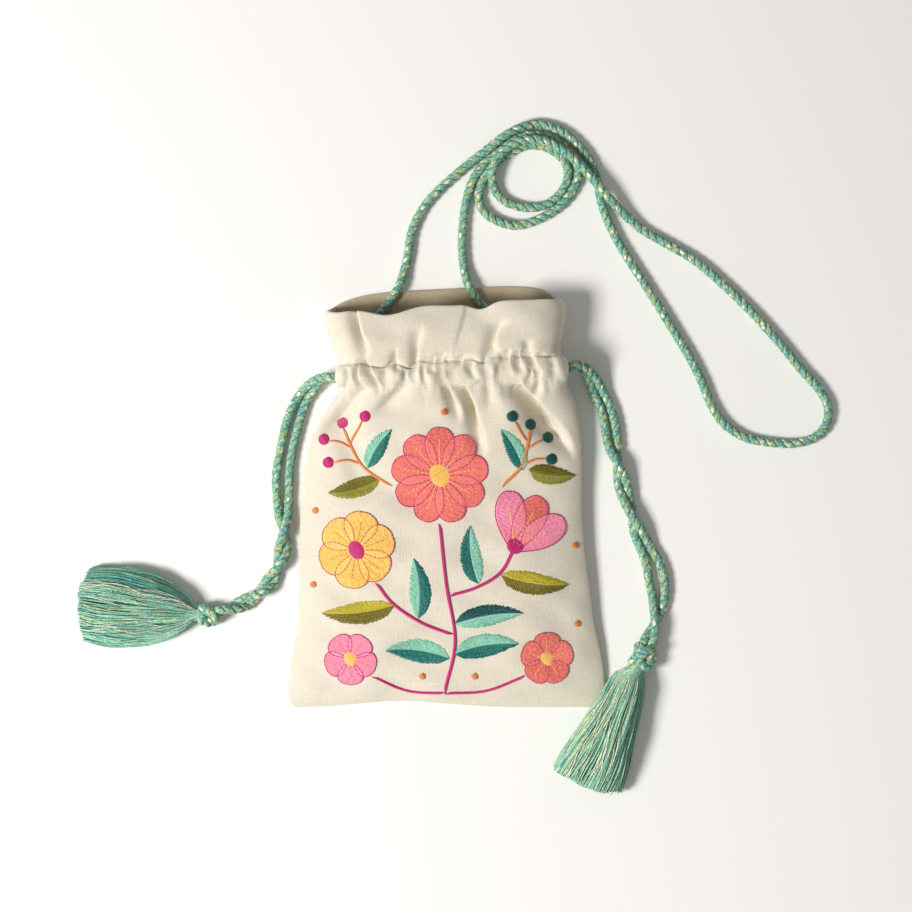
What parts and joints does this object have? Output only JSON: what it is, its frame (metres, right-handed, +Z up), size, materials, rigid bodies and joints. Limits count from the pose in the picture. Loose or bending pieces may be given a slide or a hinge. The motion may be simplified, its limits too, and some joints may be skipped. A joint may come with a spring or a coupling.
{
  "type": "phone bag",
  "caption": "Small linen drawstring pouch for a phone, gathered at the neck below a ruffle, with tasselled drawcords and a long twisted shoulder strap, lying on its back.",
  "frame": {"origin": "middle of the pouch's outline on the surface under its back, without the cords and tassels", "axes": "+X to the right as the embroidered front is seen, +Y from the bottom seam to the mouth, +Z up out of the front"},
  "size_m": [0.347, 0.3073, 0.0264],
  "materials": {
    "linen": "plain woven cream linen, matt",
    "linen_inner": "plain woven linen, matt",
    "cord": "twisted sea-green cord with gold threads",
    "tassel": "loose sea-green threads with gold threads"
  },
  "bodies": {
    "root": {"front_panel": "linen", "back_panel": "linen", "casing_band": "linen_inner", "drawcord_left": "cord", "drawcord_right": "cord", "knot_left": "cord", "knot_right": "cord", "tassel_left": "tassel", "tassel_right": "tassel", "shoulder_strap": "cord"}
  },
  "joints": []
}
